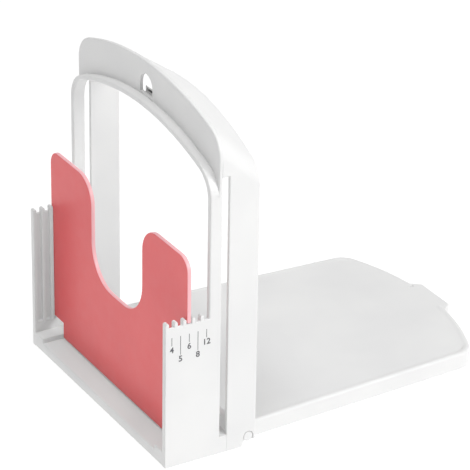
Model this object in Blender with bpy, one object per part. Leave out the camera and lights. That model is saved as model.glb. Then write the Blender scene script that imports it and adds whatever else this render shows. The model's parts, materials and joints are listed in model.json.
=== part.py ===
"""Bread slicer guide, modelled in metres with +Z up.

A tray with notched side walls and a slotted arch guide the knife. A board behind the
arch carries the loaf and folds up into the arch. A lift-out plate stands in one of five
pairs of notches and sets how thick a slice is.

X runs along the loaf, with the tray at -X and the board at +X. Y runs across, and the
near side is -Y. The origin lies on the table, midway across, in the middle of the knife
slot.
"""
import math

import bmesh
import bpy
from mathutils import Vector

MM = 0.001

# Frame as a whole
FRAME_WIDTH = 152.0 * MM
WALL = 3.3 * MM
SKIN = 2.2 * MM
RIB = 1.6 * MM
SEAT_GAP = 0.3 * MM
OVERLAP = 1.0 * MM
OVERRUN = 2.0 * MM

# Knife slot and the sill under it
KNIFE_SLOT_WIDTH = 4.2 * MM
KNIFE_SLOT_BOTTOM = 10.0 * MM
KNIFE_SLOT_TOP = 157.0 * MM
SILL_TOP = 12.0 * MM

# The bands of the arches start this far below the lowest springing of an arch
ARCH_FOOT_DROP = 6.2 * MM

# Slice settings: the plate's distance from a blade in the middle of the slot
FIRST_SLICE = 10.0 * MM
BLADE = 0.8 * MM
SLICE_STEP = 5.0 * MM
SLICE_SETTINGS = 5
PLATE_SETTING = 2

# Tray and side walls
TRAY_MARGIN = 3.6 * MM
WALL_TOP = 83.4 * MM
NOTCH_DEPTH = 3.0 * MM
GROOVE_DEPTH = 1.6 * MM
GROOVE_BOTTOM = 14.2 * MM
GROOVE_END_RISE = 0.9 * MM
FLOOR_TOP = 5.6 * MM
LEDGE_TOP = 8.4 * MM
LEDGE_WIDTH = 8.8 * MM
RAIL_EDGE = 0.8 * MM
RIB_FOOT = 0.6 * MM
TRAY_RIBS = 5

# Front hoop and the opening inside it
HOOP_DEPTH = 6.8 * MM
HOOP_CROWN = 172.3 * MM
HOOP_CROWN_RADIUS = 188.0 * MM
HOOP_CORNER_RADIUS = 16.0 * MM
HOOP_EDGE = 0.9 * MM
OPENING_CROWN = 169.4 * MM
OPENING_CROWN_RADIUS = 190.0 * MM
OPENING_CORNER_RADIUS = 14.5 * MM

# Web: the panel that stands on the front hoop
WEB = 1.9 * MM
WEB_CROWN = 191.6 * MM
WEB_CROWN_RADIUS = 208.0 * MM
WEB_CORNER_RADIUS = 15.0 * MM
WEB_EDGE = 0.9 * MM
WINDOW_WIDTH = 13.1 * MM
WINDOW_SILL = 173.3 * MM
WINDOW_SPRING = 178.0 * MM

# Catch box behind the foot of the window, and the tongue of the rear frame that holds it
CATCH_HALF = 3.6 * MM
CATCH_SKIN = 1.0 * MM
CATCH_HEIGHT = 2.4 * MM
CATCH_STEP = 0.3 * MM
CATCH_DEPTH = 5.4 * MM
CATCH_FLOOR = 2.0 * MM
CATCH_BASE = 0.8 * MM
CATCH_TAIL = 0.9 * MM
TONGUE_HALF = 2.8 * MM
TONGUE = 1.4 * MM
TONGUE_TOE = 1.4 * MM

# Rear hoop and hood
REAR_DEPTH = 17.5 * MM
REAR_BAND = 2.4 * MM
REAR_CROWN = 177.3 * MM
REAR_CROWN_RADIUS = 150.0 * MM
REAR_CORNER_RADIUS = 14.0 * MM
REAR_EDGE = 0.8 * MM
REAR_LIP = 1.8 * MM
HOOD_RIB_SPACING = 13.0 * MM
HOOD_RIBS_EACH_SIDE = 4
HOOD_RIB_DEPTH = 6.0 * MM
HOOD_RIB_STANDOFF = 1.2 * MM
HOOD_RIB_FIRST = 8.2 * MM

# Sill and locating pegs of the rear frame
SILL_SKIN = 1.8 * MM
PEG_RADIUS = 1.6 * MM
PEG_HEIGHT = 5.0 * MM
PEG_SPACING = 96.0 * MM

# Hinge: trunnions on the board snap up into open bearings in the rear legs
HINGE_X = 15.2 * MM
HINGE_Z = 5.3 * MM
BEARING_RADIUS = 3.0 * MM
TRUNNION_CLEARANCE = 0.3 * MM
TRUNNION_INSET = 0.2 * MM
LEG_FOOT_END = 11.4 * MM
LEG_FOOT_CHAMFER = 0.8 * MM
BEARING_THROAT = 3.2 * MM

# Loaf board
BOARD_TOP = 12.0 * MM
BOARD_SKIRT_FOOT = 2.5 * MM
BOARD_SKIN = 2.2 * MM
BOARD_SIDE_CLEARANCE = 0.9 * MM
BOARD_TAPER_START = 22.0 * MM
BOARD_APEX = 178.8 * MM
BOARD_END_HALF_WIDTH = 65.5 * MM
BOARD_END_RADIUS = 142.0 * MM
BOARD_END_LEAN = math.radians(23.2)
BOARD_CORNER_RADIUS = 12.0 * MM
BOARD_EDGE = 1.6 * MM
BOARD_RIM_WIDTH = 3.4 * MM
BOARD_RIM_STEP = 0.5 * MM
BOARD_RIB_DEPTH = 2.6 * MM
BOARD_LONG_RIBS = 3
BOARD_CROSS_RIBS = 5
HINGE_END_CLEARANCE = 0.5 * MM
HINGE_CURL_FOOT = 1.2 * MM

# Thumb tab at the board's free end
TAB_TIP = 183.4 * MM
TAB_TIP_WIDTH = 27.4 * MM
TAB_ROOT_WIDTH = 42.0 * MM
TAB_ROOT_DEPTH = 4.0 * MM
TAB_THICKNESS = 5.0 * MM
TAB_CORNER = 1.5 * MM
TAB_EDGE = 1.0 * MM

# Feet pressed into bosses under the board's free end
FOOT_RADIUS = 5.0 * MM
FOOT_CLEARANCE = 0.3 * MM
FOOT_HEIGHT = 3.4 * MM
FOOT_EDGE = 0.6 * MM
FOOT_BOSS_WALL = 1.6 * MM
FOOT_BOSS_FOOT = 1.4 * MM
FOOT_X = 146.0 * MM
FOOT_SPACING = 96.0 * MM

# Thickness plate
PLATE = 2.4 * MM
PLATE_TOP = 116.2 * MM
PLATE_FOOT_CLEARANCE = 0.8 * MM
PLATE_GROOVE_CLEARANCE = 0.3 * MM
PLATE_STEP_CLEARANCE = 0.8 * MM
PLATE_HEEL_CLEARANCE = 0.5 * MM
PLATE_SHOULDER_INSET = 0.2 * MM
PLATE_CORNER_RADIUS = 8.0 * MM
PLATE_EDGE = 0.6 * MM
CUTOUT_WIDTH = 56.0 * MM
CUTOUT_BOTTOM = 59.6 * MM
CUTOUT_CORNER_RADIUS = 21.0 * MM
CUTOUT_LIP_RADIUS = 15.0 * MM

# Places worked out from the sizes above
HALF_WIDTH = FRAME_WIDTH / 2
INNER_HALF = HALF_WIDTH - WALL
SLOT_HALF = KNIFE_SLOT_WIDTH / 2
HOOP_FRONT = -SLOT_HALF - HOOP_DEPTH
REAR_END = SLOT_HALF + REAR_DEPTH
REAR_INNER_HALF = HALF_WIDTH - REAR_BAND
SLICE_STOPS = [-BLADE / 2 - FIRST_SLICE - SLICE_STEP * index for index in range(SLICE_SETTINGS)]
TRAY_FRONT = SLICE_STOPS[-1] - TRAY_MARGIN
NOTCH_BOTTOM = WALL_TOP - NOTCH_DEPTH
NOTCH_WIDTH = PLATE + 2 * PLATE_GROOVE_CLEARANCE
LEDGE_HALF = INNER_HALF - LEDGE_WIDTH
FRONT_SILL_END = SLOT_HALF - SEAT_GAP
HOOD_FRONT = -SLOT_HALF + SEAT_GAP
CATCH_BACK = -SLOT_HALF + CATCH_DEPTH
BOARD_PEAK = BOARD_APEX + BOARD_END_RADIUS * (1 / math.cos(BOARD_END_LEAN) - 1)
BOARD_CORNER_X = BOARD_PEAK - BOARD_END_HALF_WIDTH * math.tan(BOARD_END_LEAN)

# Half width, crown height, corner radius and crown radius of each arch
HOOP = (HALF_WIDTH, HOOP_CROWN, HOOP_CORNER_RADIUS, HOOP_CROWN_RADIUS)
OPENING = (INNER_HALF, OPENING_CROWN, OPENING_CORNER_RADIUS, OPENING_CROWN_RADIUS)
WEB_ARCH = (HALF_WIDTH, WEB_CROWN, WEB_CORNER_RADIUS, WEB_CROWN_RADIUS)
REAR = (HALF_WIDTH, REAR_CROWN, REAR_CORNER_RADIUS, REAR_CROWN_RADIUS)

CORNER_STEPS = 8
CROWN_STEPS = 18
EDGE_STEPS = 3
ROUND_STEPS = 32
FACET_LENGTH = 8.0 * MM
SHARP_ANGLE = math.radians(32.0)
FLAT_ANGLE = math.radians(0.02)

WHITE = (0.86, 0.86, 0.85, 1.0)
PINK = (0.72, 0.17, 0.19, 1.0)
RUBBER = (0.62, 0.62, 0.61, 1.0)


def clear_scene():
    for item in list(bpy.data.objects):
        bpy.data.objects.remove(item, do_unlink=True)


def plastic(name, colour, roughness):
    material = bpy.data.materials.new(name)
    material.use_nodes = True
    shader = material.node_tree.nodes["Principled BSDF"]
    shader.inputs["Base Color"].default_value = colour
    shader.inputs["Roughness"].default_value = roughness
    shader.inputs["Metallic"].default_value = 0.0
    material.diffuse_color = colour
    return material


def loft(sections):
    """A closed solid whose skin runs through equal rings of points, capped at both ends."""
    mesh = bpy.data.meshes.new("loft")
    work = bmesh.new()
    rings = [[work.verts.new(point) for point in section] for section in sections]
    count = len(rings[0])
    sides = []
    for ring, following in zip(rings, rings[1:]):
        for index in range(count):
            after = (index + 1) % count
            corners = (ring[index], ring[after], following[after], following[index])
            sides.append(work.faces.new(corners))
    work.faces.new(rings[0])
    work.faces.new(list(reversed(rings[-1])))
    bmesh.ops.connect_verts_nonplanar(work, angle_limit=FLAT_ANGLE, faces=sides)
    bmesh.ops.recalc_face_normals(work, faces=work.faces)
    work.to_mesh(mesh)
    work.free()
    body = bpy.data.objects.new("loft", mesh)
    bpy.context.collection.objects.link(body)
    return body


def prism(axis, outline, low, high):
    """An outline pushed along an axis. It is (y, z) for X, (x, z) for Y and (x, y) for Z."""
    def place(point, along):
        if axis == "X":
            return (along, point[0], point[1])
        if axis == "Y":
            return (point[0], along, point[1])
        return (point[0], point[1], along)

    return loft([[place(point, along) for point in outline] for along in (low, high)])


def box(low, high):
    outline = [(low[0], low[1]), (high[0], low[1]), (high[0], high[1]), (low[0], high[1])]
    return prism("Z", outline, low[2], high[2])


def arc(centre, radius, start, end, steps):
    """Points along an arc, with angles in degrees from the outline's first axis."""
    points = []
    for index in range(steps + 1):
        angle = math.radians(start + (end - start) * index / steps)
        points.append((centre[0] + radius * math.cos(angle), centre[1] + radius * math.sin(angle)))
    return points


def disc(centre, radius):
    return arc(centre, radius, 0, 360, ROUND_STEPS)[:-1]


def combine(body, others, operation):
    """Cut, join or intersect the body with other solids, which are used up."""
    for other in others:
        modifier = body.modifiers.new("combine", "BOOLEAN")
        modifier.object = other
        modifier.operation = operation
        modifier.solver = "EXACT"
        graph = bpy.context.evaluated_depsgraph_get()
        mesh = bpy.data.meshes.new_from_object(body.evaluated_get(graph))
        body.modifiers.clear()
        body.data = mesh
        bpy.data.objects.remove(other, do_unlink=True)
    return body


def join(body, *others):
    return combine(body, others, "UNION")


def cut(body, *others):
    return combine(body, others, "DIFFERENCE")


def intersect(body, *others):
    return combine(body, others, "INTERSECT")


def merge_flat(body):
    """Make one face of each flat side, so that no cut runs along the seams of a loft."""
    work = bmesh.new()
    work.from_mesh(body.data)
    bmesh.ops.dissolve_limit(work, angle_limit=FLAT_ANGLE, verts=work.verts, edges=work.edges)
    work.to_mesh(body.data)
    work.free()
    return body


def finish(body, name, material):
    body.name = name
    body.data.name = name
    body.data.materials.clear()
    body.data.materials.append(material)
    body.data.shade_smooth()
    body.data.set_sharp_from_angle(angle=SHARP_ANGLE)
    return body


def set_origin(body, place):
    """Put the body's origin at a place without moving its surface."""
    offset = Vector(place)
    for vertex in body.data.vertices:
        vertex.co -= offset
    body.location = offset


def rounded_outline(corners, inset=0.0):
    """An anticlockwise outline from corners (u, v, radius), moved inwards by the inset."""
    count = len(corners)
    points = [Vector((corner[0], corner[1])) for corner in corners]
    sides = [(points[(i + 1) % count] - points[i]).normalized() for i in range(count)]
    outline = []
    for i in range(count):
        before, after = sides[i - 1], sides[i]
        inward = (Vector((-before.y, before.x)), Vector((-after.y, after.x)))
        turn = before.cross(after)
        middle = (inward[0] + inward[1]).normalized()
        corner = points[i] + middle * (inset / middle.dot(inward[0]))
        if corners[i][2] == 0:
            outline.append((corner.x, corner.y))
            continue
        radius = corners[i][2] - inset if turn > 0 else corners[i][2] + inset
        half = math.acos(max(-1.0, min(1.0, before.dot(after)))) / 2
        side = 1 if turn > 0 else -1
        centre = corner + middle * (side * radius / math.cos(half))
        start = math.atan2(-inward[0].y * side, -inward[0].x * side)
        steps = max(2, math.ceil(CORNER_STEPS * half / (math.pi / 4)),
                    math.ceil(2 * half * corners[i][2] / FACET_LENGTH))
        for step in range(steps + 1):
            angle = start + side * 2 * half * step / steps
            outline.append((centre.x + radius * math.cos(angle),
                            centre.y + radius * math.sin(angle)))
    return outline


def soft_prism(axis, corners, low, high, low_edge, high_edge):
    """A prism of a rounded outline whose rims at its two ends are rounded too."""
    def ring(inset, along):
        outline = rounded_outline(corners, inset)
        if axis == "X":
            return [(along, u, v) for u, v in outline]
        if axis == "Y":
            return [(u, along, v) for u, v in outline]
        return [(u, v, along) for u, v in outline]

    rings = []
    for index in range(EDGE_STEPS + 1):
        angle = math.pi / 2 * index / EDGE_STEPS
        if low_edge or index == EDGE_STEPS:
            inset = low_edge * (1 - math.sin(angle))
            rings.append(ring(inset, low + low_edge * (1 - math.cos(angle))))
    for index in range(EDGE_STEPS + 1):
        angle = math.pi / 2 * index / EDGE_STEPS
        if high_edge or index == 0:
            inset = high_edge * (1 - math.cos(angle))
            rings.append(ring(inset, high - high_edge * (1 - math.sin(angle))))
    return loft(rings)


def springing(shape):
    """Height at which the upright flanks of an arch end and its corners start."""
    half_width, crown, corner_radius, crown_radius = shape
    flank = half_width - corner_radius
    span = crown_radius - corner_radius
    return crown - crown_radius + math.sqrt(span ** 2 - flank ** 2)


def arch(shape, base, offset=0.0):
    """Points (y, z) of a low arch from its near foot, over its crown, to its far foot."""
    half_width, crown, corner_radius, crown_radius = shape
    flank = half_width - corner_radius
    lean = math.degrees(math.asin(flank / (crown_radius - corner_radius)))
    far = [(half_width + offset, base)]
    far += arc((flank, springing(shape)), corner_radius + offset, 0, 90 - lean, CORNER_STEPS)
    far += arc((0, crown - crown_radius), crown_radius + offset, 90 - lean, 90, CROWN_STEPS)[1:]
    near = [(-y, z) for y, z in far[:-1]]
    return near + list(reversed(far))


def arch_foot():
    """Height below which the flanks of every arch are upright."""
    return min(springing(HOOP), springing(OPENING), springing(WEB_ARCH), springing(REAR)) - ARCH_FOOT_DROP


def hoop_arch(base, offset=0.0):
    return arch(HOOP, base, offset)


def opening_arch(offset=0.0):
    return arch(OPENING, 0.0, offset)


def web_arch(base, offset=0.0):
    return arch(WEB_ARCH, base, offset)


def rear_arch(base, offset=0.0):
    return arch(REAR, base, offset)


def height_at(outline, y):
    """Height of an arch at a distance from its middle."""
    for (y0, z0), (y1, z1) in zip(outline, outline[1:]):
        if y0 <= y <= y1 and y1 > y0:
            return z0 + (z1 - z0) * (y - y0) / (y1 - y0)
    return outline[0][1]


def arch_loft(lines):
    """A solid band whose cross-section, at every station, joins the same point of each line.

    Each line is (x, arch outline), and all the outlines have as many points.
    """
    stations = len(lines[0][1])
    return loft([[(x, *outline[i]) for x, outline in lines] for i in range(stations)])


def notched_wall_outline():
    """Side view (x, z) of a tray wall, with a rounded tooth between each two notches."""
    outline = [(HOOP_FRONT + OVERRUN, 0.0), (HOOP_FRONT + OVERRUN, NOTCH_BOTTOM)]
    for stop in SLICE_STOPS:
        front = stop - NOTCH_WIDTH / 2
        if stop == SLICE_STOPS[-1]:
            tooth_front = TRAY_FRONT
        else:
            tooth_front = stop - SLICE_STEP + NOTCH_WIDTH / 2
        radius = (front - tooth_front) / 2
        outline.append((front, NOTCH_BOTTOM))
        outline += arc((front - radius, WALL_TOP - radius), radius, 0, 180, CORNER_STEPS)
        if stop != SLICE_STOPS[-1]:
            outline.append((tooth_front, NOTCH_BOTTOM))
    outline.append((TRAY_FRONT, 0.0))
    return outline


def plate_groove(stop, side):
    """Cutter for one groove of a wall: a slot whose lower end runs out in a slope."""
    root = side * (INNER_HALF + GROOVE_DEPTH)
    mouth = side * (INNER_HALF - OVERRUN)
    outline = [
        (root, WALL_TOP + OVERRUN),
        (mouth, WALL_TOP + OVERRUN),
        (mouth, GROOVE_BOTTOM),
        (side * INNER_HALF, GROOVE_BOTTOM),
        (root, GROOVE_BOTTOM + GROOVE_END_RISE),
    ]
    return prism("X", outline, stop - NOTCH_WIDTH / 2, stop + NOTCH_WIDTH / 2)


def tray_rib(y):
    """A stiffening rib under the tray floor and the front half of the sill."""
    step = HOOP_FRONT + SKIN / 2
    front = TRAY_FRONT + SKIN / 2
    back = FRONT_SILL_END - WALL / 2
    under_floor = FLOOR_TOP - SKIN / 2
    under_sill = KNIFE_SLOT_BOTTOM - SKIN / 2
    outline = [(front, RIB_FOOT), (back, RIB_FOOT), (back, under_sill),
               (step, under_sill), (step, under_floor), (front, under_floor)]
    return prism("Y", outline, y - RIB / 2, y + RIB / 2)


def peg_places():
    return (-PEG_SPACING / 2, PEG_SPACING / 2)


def catch_box():
    """A hollow wedge behind the window's foot, open towards it, on a shelf from the web."""
    half = CATCH_HALF + CATCH_SKIN
    foot = WINDOW_SILL - CATCH_FLOOR
    step = WINDOW_SILL + CATCH_STEP
    mouth = WINDOW_SILL + CATCH_HEIGHT
    slope = (mouth + CATCH_SKIN - foot - CATCH_TAIL) / (CATCH_BACK - HOOD_FRONT)
    lip = HOOD_FRONT + CATCH_SKIN
    shelf = box((-SLOT_HALF - WEB / 2, -half, foot),
                (HOOD_FRONT + CATCH_SKIN / 2, half, WINDOW_SILL - CATCH_STEP))
    wedge = [(HOOD_FRONT, foot), (CATCH_BACK, foot), (CATCH_BACK, foot + CATCH_TAIL),
             (HOOD_FRONT, mouth + CATCH_SKIN)]
    floor = foot + CATCH_BASE
    pocket = [(HOOD_FRONT - OVERRUN, step), (lip, step), (lip, floor),
              (HOOD_FRONT + (mouth - floor) / slope, floor),
              (HOOD_FRONT - OVERRUN, mouth + slope * OVERRUN)]
    catch = cut(prism("Y", wedge, -half, half), prism("Y", pocket, -CATCH_HALF, CATCH_HALF))
    return join(catch, shelf)


def build_front_frame(material):
    """Tray, notched walls, front half of the sill, front hoop, web and catch box."""
    reach = INNER_HALF + OVERLAP
    riser = LEDGE_HALF + SKIN
    frame = prism("X", [
        (-reach, LEDGE_TOP), (-reach, LEDGE_TOP - SKIN), (-riser, LEDGE_TOP - SKIN),
        (-riser, FLOOR_TOP - SKIN), (riser, FLOOR_TOP - SKIN), (riser, LEDGE_TOP - SKIN),
        (reach, LEDGE_TOP - SKIN), (reach, LEDGE_TOP), (LEDGE_HALF, LEDGE_TOP),
        (LEDGE_HALF, FLOOR_TOP), (-LEDGE_HALF, FLOOR_TOP), (-LEDGE_HALF, LEDGE_TOP),
    ], TRAY_FRONT + SKIN / 2, HOOP_FRONT + SKIN / 2)
    rail_corners = [
        (-reach, 0.0, 0), (reach, 0.0, 0), (reach, LEDGE_TOP, 0), (LEDGE_HALF, LEDGE_TOP, 0),
        (LEDGE_HALF, FLOOR_TOP, 0), (-LEDGE_HALF, FLOOR_TOP, 0), (-LEDGE_HALF, LEDGE_TOP, 0),
        (-reach, LEDGE_TOP, 0),
    ]
    rail = soft_prism("X", rail_corners, TRAY_FRONT, TRAY_FRONT + SKIN, RAIL_EDGE, 0)
    sill = prism("Y", [
        (HOOP_FRONT, FLOOR_TOP - SKIN), (HOOP_FRONT + SKIN, FLOOR_TOP - SKIN),
        (HOOP_FRONT + SKIN, KNIFE_SLOT_BOTTOM - SKIN),
        (FRONT_SILL_END - WALL, KNIFE_SLOT_BOTTOM - SKIN), (FRONT_SILL_END - WALL, 0.0),
        (FRONT_SILL_END, 0.0), (FRONT_SILL_END, KNIFE_SLOT_BOTTOM),
        (-SLOT_HALF, KNIFE_SLOT_BOTTOM), (-SLOT_HALF, SILL_TOP), (HOOP_FRONT, SILL_TOP),
    ], -reach, reach)
    ribs = []
    for index in range(TRAY_RIBS):
        share = (index + 1) / (TRAY_RIBS + 1)
        ribs.append(tray_rib(LEDGE_HALF * (2 * share - 1)))
    walls = []
    for side in (-1, 1):
        wall = prism("Y", notched_wall_outline(), side * INNER_HALF, side * HALF_WIDTH)
        end = prism("Y", [
            (-SLOT_HALF - OVERLAP, 0.0), (FRONT_SILL_END, 0.0),
            (FRONT_SILL_END, KNIFE_SLOT_BOTTOM), (-SLOT_HALF - OVERLAP, KNIFE_SLOT_BOTTOM),
        ], side * INNER_HALF, side * HALF_WIDTH)
        walls += [wall, end]
    join(frame, rail, sill, *ribs, *walls)

    band = [(-SLOT_HALF, opening_arch()), (HOOP_FRONT + HOOP_EDGE, opening_arch())]
    for index in range(1, EDGE_STEPS + 1):
        angle = math.pi / 2 * index / EDGE_STEPS
        band.append((HOOP_FRONT + HOOP_EDGE * (1 - math.sin(angle)),
                     opening_arch(HOOP_EDGE * (1 - math.cos(angle)))))
    for index in range(EDGE_STEPS + 1):
        angle = math.pi / 2 * index / EDGE_STEPS
        band.append((HOOP_FRONT + HOOP_EDGE * (1 - math.cos(angle)),
                     hoop_arch(0.0, -HOOP_EDGE * (1 - math.sin(angle)))))
    band.append((-SLOT_HALF, hoop_arch(0.0)))
    hoop = arch_loft(band)

    web_front = -SLOT_HALF - WEB
    web_lines = [(-SLOT_HALF, hoop_arch(arch_foot(), -WALL / 2)),
                 (web_front, hoop_arch(arch_foot(), -WALL / 2))]
    for index in range(EDGE_STEPS + 1):
        angle = math.pi / 2 * index / EDGE_STEPS
        web_lines.append((web_front + WEB_EDGE * (1 - math.cos(angle)),
                          web_arch(arch_foot(), -WEB_EDGE * (1 - math.sin(angle)))))
    web_lines.append((-SLOT_HALF, web_arch(arch_foot())))
    web = arch_loft(web_lines)
    window_half = WINDOW_WIDTH / 2
    window = [(-window_half, WINDOW_SILL), (window_half, WINDOW_SILL)]
    window += arc((0.0, WINDOW_SPRING), window_half, 0, 180, 2 * CORNER_STEPS)
    cut(merge_flat(web), prism("X", window, web_front - OVERRUN, -SLOT_HALF + OVERRUN))
    join(web, catch_box())
    join(frame, merge_flat(hoop), web)

    cuts = []
    for side in (-1, 1):
        cuts += [plate_groove(stop, side) for stop in SLICE_STOPS]
    for y in peg_places():
        hole = disc((y, PEG_HEIGHT), PEG_RADIUS + SEAT_GAP)
        cuts.append(prism("X", hole, FRONT_SILL_END - WALL - OVERRUN, FRONT_SILL_END + OVERRUN))
    cut(frame, *cuts)
    return finish(frame, "front_frame", material)


def bearing_outline():
    """Side view (x, z) of what is cut from the rear legs: the bearing and its open throat."""
    throat = HINGE_Z - BEARING_THROAT
    lean = math.degrees(math.asin(throat / BEARING_RADIUS))
    outline = [(LEG_FOOT_END, -OVERRUN), (LEG_FOOT_END, 0.0),
               (LEG_FOOT_END + LEG_FOOT_CHAMFER, BEARING_THROAT)]
    outline += arc((HINGE_X, HINGE_Z), BEARING_RADIUS, 180 + lean, -lean, ROUND_STEPS // 2)
    outline += [(REAR_END + OVERRUN, BEARING_THROAT), (REAR_END + OVERRUN, -OVERRUN)]
    return outline


def roof_height(x, y, depth):
    """Height of a point in the hood's roof, a depth below its outer surface."""
    front = height_at(web_arch(0.0, -depth), y)
    back = height_at(rear_arch(0.0, -depth), y)
    return front + (back - front) * (x - HOOD_FRONT) / (REAR_END - HOOD_FRONT)


def catch_tongue():
    """A tongue that hangs from the hood roof, with its toe under the catch box."""
    front = CATCH_BACK + SEAT_GAP
    back = front + TONGUE
    top = (roof_height(back, TONGUE_HALF, 0.0) + roof_height(front, 0.0, SKIN)) / 2
    toe = WINDOW_SILL - CATCH_FLOOR - SEAT_GAP
    outline = [(CATCH_BACK - TONGUE_TOE, toe - TONGUE), (back, toe - TONGUE), (back, top),
               (front, top), (front, toe), (CATCH_BACK - TONGUE_TOE, toe)]
    return prism("Y", outline, -TONGUE_HALF, TONGUE_HALF)


def hood_rib(y):
    """A gusset under the hood roof, in the XZ plane."""
    front = HOOD_FRONT + HOOD_RIB_STANDOFF
    back = REAR_END - REAR_LIP / 2
    front_top = roof_height(front, y, SKIN / 2)
    back_top = roof_height(back, y, REAR_BAND / 2)
    outline = [(front, front_top - HOOD_RIB_DEPTH), (back, back_top - REAR_BAND / 4),
               (back, back_top), (front, front_top)]
    return prism("Y", outline, y - RIB / 2, y + RIB / 2)


def build_rear_frame(material):
    """Rear legs with the hinge bearings, rear half of the sill, hood and its tongue."""
    lines = [(HOOD_FRONT, web_arch(-OVERLAP))]
    for index in range(EDGE_STEPS + 1):
        angle = math.pi / 2 * index / EDGE_STEPS
        lines.append((REAR_END - REAR_EDGE * (1 - math.sin(angle)),
                      rear_arch(-OVERLAP, -REAR_EDGE * (1 - math.cos(angle)))))
    lines += [
        (REAR_END, rear_arch(-OVERLAP, -REAR_BAND)),
        (REAR_END - REAR_LIP, rear_arch(-OVERLAP, -REAR_BAND)),
        (HOOD_FRONT, web_arch(-OVERLAP, -SKIN)),
    ]
    frame = arch_loft(lines)
    ribs = []
    for index in range(HOOD_RIBS_EACH_SIDE):
        y = HOOD_RIB_FIRST + HOOD_RIB_SPACING * index
        ribs += [hood_rib(-y), hood_rib(y)]
    sill_end = HINGE_X - (BOARD_TOP - HINGE_Z) - HINGE_END_CLEARANCE
    reach = REAR_INNER_HALF + OVERLAP
    sill = prism("Y", [
        (SLOT_HALF - OVERLAP, -OVERLAP), (SLOT_HALF + SILL_SKIN, -OVERLAP),
        (SLOT_HALF + SILL_SKIN, SILL_TOP - SILL_SKIN), (sill_end - SILL_SKIN, SILL_TOP - SILL_SKIN),
        (sill_end - SILL_SKIN, -OVERLAP), (sill_end, -OVERLAP), (sill_end, SILL_TOP),
        (SLOT_HALF - OVERLAP, SILL_TOP),
    ], -reach, reach)
    join(frame, *ribs, catch_tongue(), sill)

    side = HALF_WIDTH + OVERRUN
    slot = box((HOOD_FRONT - OVERRUN, -side, -OVERRUN), (SLOT_HALF, side, KNIFE_SLOT_TOP))
    below = box((HOOD_FRONT - OVERRUN, -side, -OVERRUN), (REAR_END + OVERRUN, side, 0.0))
    bearings = prism("Y", bearing_outline(), -side, side)
    cut(frame, slot, below, bearings)
    pegs = []
    for y in peg_places():
        peg = disc((y, PEG_HEIGHT), PEG_RADIUS)
        pegs.append(prism("X", peg, FRONT_SILL_END - WALL, SLOT_HALF + SILL_SKIN / 2))
    join(frame, *pegs)
    return finish(frame, "rear_frame", material)


def board_half_width(x):
    wide = REAR_INNER_HALF - BOARD_SIDE_CLEARANCE
    if x <= BOARD_TAPER_START:
        return wide
    share = (x - BOARD_TAPER_START) / (BOARD_CORNER_X - BOARD_TAPER_START)
    return wide + (BOARD_END_HALF_WIDTH - wide) * share


def board_corners(start):
    """Plan outline (x, y) of the board, from its hinge end, with a low arc at its free end."""
    wide = board_half_width(start)
    return [
        (start, -wide, 0), (BOARD_TAPER_START, -wide, 0),
        (BOARD_CORNER_X, -BOARD_END_HALF_WIDTH, BOARD_CORNER_RADIUS),
        (BOARD_PEAK, 0.0, BOARD_END_RADIUS),
        (BOARD_CORNER_X, BOARD_END_HALF_WIDTH, BOARD_CORNER_RADIUS),
        (BOARD_TAPER_START, wide, 0), (start, wide, 0),
    ]


def foot_places():
    return ((FOOT_X, -FOOT_SPACING / 2), (FOOT_X, FOOT_SPACING / 2))


def curl_arc(radius):
    """Side view (x, z) of the board's curl round the hinge, from the top down to its foot."""
    lean = math.degrees(math.asin((HINGE_Z - HINGE_CURL_FOOT) / (BOARD_TOP - HINGE_Z)))
    return arc((HINGE_X, HINGE_Z), radius, 90, 180 + lean, CORNER_STEPS * 2)


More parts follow.
